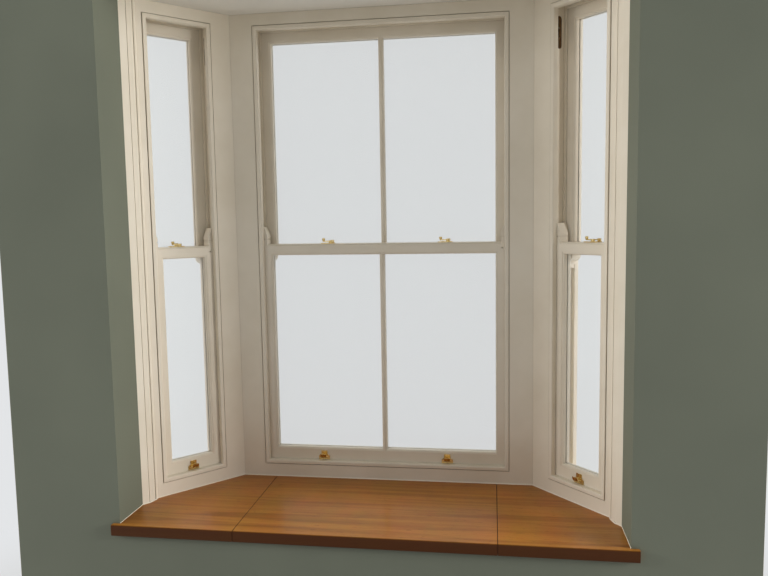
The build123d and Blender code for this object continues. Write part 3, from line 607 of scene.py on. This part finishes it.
# Glass: 4 mm float glass, clear, with a faint green body and a sharp gloss.
# It sits in the rebates of the sashes, and the putty outside holds it.
glass_finish, tree = new_material("clear_float_glass")
shader = add_node(
    tree, "BsdfPrincipled",
    {"Base Color": linear("#dfe9e4"), "Roughness": 0.02, "IOR": 1.5, "Alpha": 0.12,
     "Specular IOR Level": 0.6},
)
add_node(tree, "OutputMaterial", {"Surface": shader.outputs["BSDF"]})
dress(glass_finish, "glass_left", "glass_centre", "glass_right")


# Brass fittings: hook lifts, sash fasteners with their keeps, and sash pulleys.
# Cast and polished brass under lacquer, golden, and browner in patches 11 mm across.
brass, tree = new_material("polished_lacquered_brass")
place = add_node(tree, "TexCoord").outputs["Object"]
tarnish = add_node(tree, "TexNoise", {"Vector": place, "Scale": 90.0, "Detail": 4.0, "Roughness": 0.6})
brass_tone = add_node(
    tree, "ValToRGB", {"Fac": tarnish.outputs["Fac"]},
    stops=[(0.3, linear("#c8a45a")), (0.6, linear("#f0daa0"))],
)
dulled = add_node(
    tree, "MapRange", {"Value": tarnish.outputs["Fac"], "To Min": 0.34, "To Max": 0.2}
)
shader = add_node(
    tree, "BsdfPrincipled",
    {"Base Color": brass_tone.outputs["Color"], "Metallic": 1.0, "Roughness": dulled.outputs["Result"]},
)
add_node(tree, "OutputMaterial", {"Surface": shader.outputs["BSDF"]})
for name in ("sash_lifts", "sash_fasteners", "fastener_keeps"):
    ease(name, brass, arris=0.0003)

# Slotted screw heads, 6 mm across: two in each lift and two in each pulley plate
side_x_middle, side_y_middle = 0.6966, -0.0034
window_places = {
    "left": Matrix.Translation((-side_x_middle, side_y_middle, 0)) @ Matrix.Rotation(turn, 4, "Z"),
    "centre": Matrix.Translation((0, window_line, 0)),
    "right": Matrix.Translation((side_x_middle, side_y_middle, 0)) @ Matrix.Rotation(-turn, 4, "Z"),
}
lift_middles = {"left": (0.0,), "centre": (-0.240, 0.240), "right": (0.0,)}
half_openings = {"left": 0.12695, "centre": 0.471, "right": 0.12695}
lift_screw_height = 0.9135
lift_face = 0.0165
pulley_height = 2.472
pulley_depth = 0.04075
lift_screw_reach = 0.017
pulley_screw_reach = 0.0455
screw_radius = 0.003
screw_proud = 0.0006
screw_sunk = 0.0006
slot_half_width = 0.0005
slot_depth = 0.0007
screw_taper = 0.8
facing_out = 0.9
slot_angle_limit = 0.6


def drive_screw(screws, seat, slot_angle):
    """A raised head on a seat whose z points out of the plate, with its slot at an angle."""
    into_seat = Matrix.Translation((0, 0, (screw_proud - screw_sunk) / 2))
    head = bmesh.ops.create_cone(
        screws, cap_ends=True, segments=20, radius1=screw_radius,
        radius2=screw_taper * screw_radius, depth=screw_proud + screw_sunk,
        matrix=seat @ into_seat,
    )["verts"]
    turned_seat = seat @ Matrix.Rotation(slot_angle, 4, "Z")
    across = turned_seat.to_3x3() @ Vector((1, 0, 0))
    for side in (-slot_half_width, slot_half_width):
        around = {part for vert in head for part in (vert, *vert.link_edges, *vert.link_faces)}
        cut = bmesh.ops.bisect_plane(
            screws, geom=list(around), plane_co=seat.translation + across * side, plane_no=across
        )
        head += [part for part in cut["geom_cut"] if isinstance(part, bmesh.types.BMVert)]
    out = seat.to_3x3() @ Vector((0, 0, 1))
    slot = [
        face for face in {face for vert in head for face in vert.link_faces}
        if face.normal.dot(out) > facing_out
        and abs((face.calc_center_median() - seat.translation).dot(across)) < slot_half_width
    ]
    pressed = bmesh.ops.extrude_face_region(screws, geom=slot)["geom"]
    bmesh.ops.delete(screws, geom=slot, context="FACES")
    moved = [part for part in pressed if isinstance(part, bmesh.types.BMVert)]
    bmesh.ops.translate(screws, verts=moved, vec=out * -slot_depth)


lift_screws = bmesh.new()
pulley_screws = bmesh.new()
for window, at_window in window_places.items():
    for middle in lift_middles[window]:
        for along in (middle - lift_screw_reach, middle + lift_screw_reach):
            place = Matrix.Translation((along, lift_face, lift_screw_height))
            towards_room = place @ Matrix.Rotation(math.radians(90), 4, "X")
            slot_angle = chance.uniform(-slot_angle_limit, slot_angle_limit)
            drive_screw(lift_screws, at_window @ towards_room, slot_angle)
    for sign in (-1, 1):
        for height in (pulley_height - pulley_screw_reach, pulley_height + pulley_screw_reach):
            place = Matrix.Translation((sign * half_openings[window], pulley_depth, height))
            into_opening = place @ Matrix.Rotation(math.radians(-90 * sign), 4, "Y")
            slot_angle = chance.uniform(-slot_angle_limit, slot_angle_limit)
            drive_screw(pulley_screws, at_window @ into_opening, slot_angle)
finish_piece(lift_screws, "lift_screws", brass)

# Pulley plates and wheels: the same brass, dull in patches 14 mm across, and drawn brown and
# dark, partly tarnish and partly painted shade on the plates in the pulley stiles
tarnished_shaded_brass, tree = new_material("tarnished_brass_with_painted_shade")
place = add_node(tree, "TexCoord").outputs["Object"]
tarnish = add_node(tree, "TexNoise", {"Vector": place, "Scale": 70.0, "Detail": 4.0, "Roughness": 0.6})
brown_tone = add_node(
    # Painted shade, in part: these browns are darker than the brass of the lifts
    tree, "ValToRGB", {"Fac": tarnish.outputs["Fac"]},
    stops=[(0.35, linear("#543d28")), (0.65, linear("#806343"))],
)
shader = add_node(
    tree, "BsdfPrincipled",
    {"Base Color": brown_tone.outputs["Color"], "Metallic": 0.8, "Roughness": 0.5},
)
add_node(tree, "OutputMaterial", {"Surface": shader.outputs["BSDF"]})
ease("sash_pulleys", tarnished_shaded_brass, arris=0.0003)
finish_piece(pulley_screws, "pulley_screws", tarnished_shaded_brass)


# Ceiling of the bay: plasterboard, skimmed and painted with matt white emulsion, which keeps
# the 3 mm stipple of the roller.
ceiling_finish, tree = new_material("matt_white_ceiling_emulsion")
place = add_node(tree, "TexCoord").outputs["Object"]
stipple = add_node(
    tree, "TexNoise", {"Vector": place, "Scale": 330.0, "Detail": 3.0, "Roughness": 0.6}
)
rolled = add_node(
    tree, "Bump", {"Height": stipple.outputs["Fac"], "Strength": 0.3, "Distance": 0.0005}
)
shader = add_node(
    tree, "BsdfPrincipled",
    {"Base Color": linear("#e9e5dc"), "Roughness": 0.85, "Normal": rolled.outputs["Normal"]},
)
add_node(tree, "OutputMaterial", {"Surface": shader.outputs["BSDF"]})
dress(ceiling_finish, "bay_ceiling")


# Lead roof: sheets of milled lead dressed over rolls and down over the eaves, with a flashing
# turned into the house wall. It has weathered to a soft grey, with pale runs down the slope
# 30 mm apart and a patina in clouds of 70 mm.
lead_finish, tree = new_material("weathered_milled_lead")
place = add_node(tree, "TexCoord").outputs["Object"]
down_slope = add_node(tree, "Mapping", {"Vector": place, "Scale": (34.0, 3.0, 3.0)})
runs = add_node(
    tree, "TexNoise",
    {"Vector": down_slope.outputs["Vector"], "Scale": 1.0, "Detail": 5.0, "Roughness": 0.6},
)
patina = add_node(tree, "TexNoise", {"Vector": place, "Scale": 14.0, "Detail": 5.0, "Roughness": 0.6})
lead_tone = add_node(
    tree, "ValToRGB", {"Fac": runs.outputs["Fac"]},
    stops=[(0.3, linear("#777b7e")), (0.55, linear("#83878a")), (0.72, linear("#94989a"))],
)
mottled = add_node(
    tree, "Mix", {"Factor": 0.3, "A": lead_tone.outputs["Color"], "B": patina.outputs["Color"]},
    data_type="RGBA", blend_type="SOFT_LIGHT",
)
beaten = add_node(tree, "Bump", {"Height": patina.outputs["Fac"], "Strength": 0.3, "Distance": 0.004})
shader = add_node(
    tree, "BsdfPrincipled",
    {"Base Color": mottled.outputs["Result"], "Metallic": 0.35, "Roughness": 0.6,
     "Normal": beaten.outputs["Normal"]},
)
add_node(tree, "OutputMaterial", {"Surface": shader.outputs["BSDF"]})
ease("lead_roof", lead_finish, arris=0.001)
dress(lead_finish, "flashing")


# The floor, the lamps and the camera, which stands where the photograph was taken from.
# Away from the building the floor fades into the background, so that no edge of it shows.
floor_size = 30
fade_start, fade_end = 1.4, 2.8
background = linear("#eef0f2")
background_strength = 0.9
light_strength = 0.32


def background_rays(tree):
    """The rays that see the background: from the camera, off gloss and through glass."""
    rays = add_node(tree, "LightPath")
    seen = add_node(
        tree, "Math", {0: rays.outputs["Is Camera Ray"], 1: rays.outputs["Is Glossy Ray"]},
        operation="MAXIMUM",
    )
    seen_through = add_node(
        tree, "Math", {0: seen.outputs[0], 1: rays.outputs["Is Transmission Ray"]},
        operation="MAXIMUM",
    )
    return seen_through.outputs[0]


floor_mesh = bmesh.new()
bmesh.ops.create_grid(floor_mesh, x_segments=1, y_segments=1, size=floor_size)
floor_data = bpy.data.meshes.new("floor")
floor_mesh.to_mesh(floor_data)
floor_mesh.free()
floor = bpy.data.objects.new("floor", floor_data)
bpy.context.scene.collection.objects.link(floor)
floor_finish, tree = new_material("plain_pale_floor")
place = add_node(tree, "TexCoord").outputs["Object"]
from_middle = add_node(tree, "VectorMath", {0: place}, operation="LENGTH")
faded = add_node(
    tree, "MapRange",
    {"Value": from_middle.outputs["Value"], "From Min": fade_start, "From Max": fade_end},
    interpolation_type="SMOOTHSTEP",
)
share = add_node(
    tree, "Math", {0: faded.outputs["Result"], 1: background_rays(tree)}, operation="MULTIPLY"
)
near_shader = add_node(tree, "BsdfPrincipled", {"Base Color": linear("#cdcdcb"), "Roughness": 0.9})
far_shader = add_node(
    tree, "Emission", {"Color": background, "Strength": background_strength}
)
shader = add_node(
    tree, "MixShader",
    {0: share.outputs[0], 1: near_shader.outputs["BSDF"], 2: far_shader.outputs["Emission"]},
)
add_node(tree, "OutputMaterial", {"Surface": shader.outputs["Shader"]})
floor_data.materials.append(floor_finish)

scene = bpy.context.scene
scene.view_settings.view_transform = "Standard"
world = bpy.data.worlds.new("studio")
scene.world = world
world.use_nodes = True
world.node_tree.nodes.clear()
tree = world.node_tree
strength = add_node(
    tree, "MapRange",
    {"Value": background_rays(tree), "To Min": light_strength, "To Max": background_strength},
)
studio = add_node(
    tree, "Background", {"Color": background, "Strength": strength.outputs["Result"]}
)
add_node(tree, "OutputWorld", {"Surface": studio.outputs["Background"]})


def soft_lamp(name, place, target, size, power):
    """A square area lamp of that size in metres and power in watts, aimed at a target."""
    lamp = bpy.data.lights.new(name, "AREA")
    lamp.shape = "SQUARE"
    lamp.size = size
    lamp.energy = power
    holder = bpy.data.objects.new(name, lamp)
    scene.collection.objects.link(holder)
    holder.location = place
    holder.rotation_euler = (Vector(target) - Vector(place)).to_track_quat("-Z", "Y").to_euler()
    holder.visible_glossy = False


soft_lamp("room_lamp", (-3.2, -3.6, 3.6), target=(0, 0, 1.6), size=1.8, power=30)
soft_lamp("right_lamp", (6.0, -1.6, 2.7), target=(-0.5, 0, 1.6), size=1.6, power=320)
soft_lamp("left_lamp", (-6.0, -1.6, 2.7), target=(0.5, 0, 1.6), size=1.6, power=200)
soft_lamp("garden_lamp", (3.2, 4.2, 4.0), target=(0, 0, 1.6), size=3.0, power=105)
soft_lamp("roof_lamp", (-2.8, 3.6, 4.5), target=(0, 0, 1.8), size=3.0, power=115)

# The camera was solved from the straight edges of the bay
camera_place = (0.4095, -2.5101, 1.8419)
camera_data = bpy.data.cameras.new("camera")
camera_data.lens = 33.777
camera_data.sensor_width = 36.0
camera_data.clip_start = 0.05
camera = bpy.data.objects.new("camera", camera_data)
scene.collection.objects.link(camera)
yaw, pitch, roll = math.radians(8.544), math.radians(-5.522), math.radians(-0.951)
camera.matrix_world = (
    Matrix.Translation(camera_place)
    @ Matrix.Rotation(yaw, 4, "Z")
    @ Matrix.Rotation(math.pi / 2 + pitch, 4, "X")
    @ Matrix.Rotation(roll, 4, "Z")
)
scene.camera = camera
